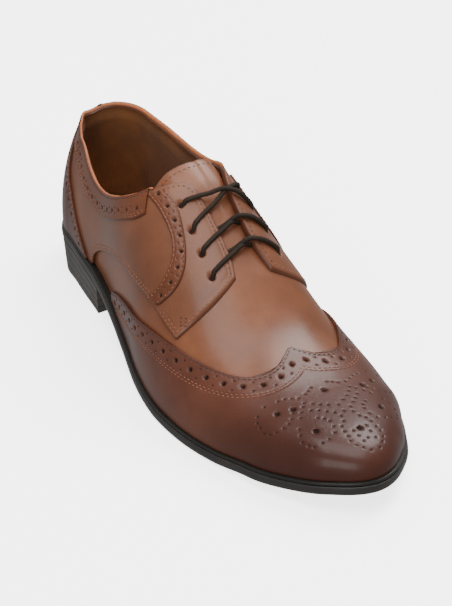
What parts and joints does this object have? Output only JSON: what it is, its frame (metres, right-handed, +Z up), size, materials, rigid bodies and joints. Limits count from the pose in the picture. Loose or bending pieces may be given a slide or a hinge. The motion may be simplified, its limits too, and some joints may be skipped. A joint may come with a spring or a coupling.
{
  "type": "brogue shoe",
  "caption": "Right leather wing-tip derby brogue with laced open facings, stacked heel and thin welted sole.",
  "frame": {"origin": "middle of the shoe's outline on the floor", "axes": "+X from heel to toe, +Y to the inner (medial) side, +Z up"},
  "size_m": [0.302, 0.1089, 0.1063],
  "materials": {
    "upper_leather": "smooth waxed calf leather, warm brown",
    "burnished_leather": "smooth calf leather, burnished darker towards toe and heel",
    "lining": "unglazed tan lining leather",
    "sole": "satin black",
    "heel": "satin black stacked lifts",
    "welt": "black inked edge",
    "lace": "round waxed cotton, dark brown"
  },
  "bodies": {
    "root": {"outsole": "sole", "heel": "heel", "welt": "welt", "insole": "lining", "upper": "upper_leather", "wing_cap": "burnished_leather", "quarter_outer": "upper_leather", "quarter_inner": "upper_leather", "counter": "burnished_leather", "collar_band_outer": "upper_leather", "collar_band_inner": "upper_leather", "facing_strip_outer": "upper_leather", "facing_strip_inner": "upper_leather", "tongue": "upper_leather", "lace_crossing_1": "lace", "lace_crossing_2": "lace", "lace_crossing_3": "lace"}
  },
  "joints": []
}
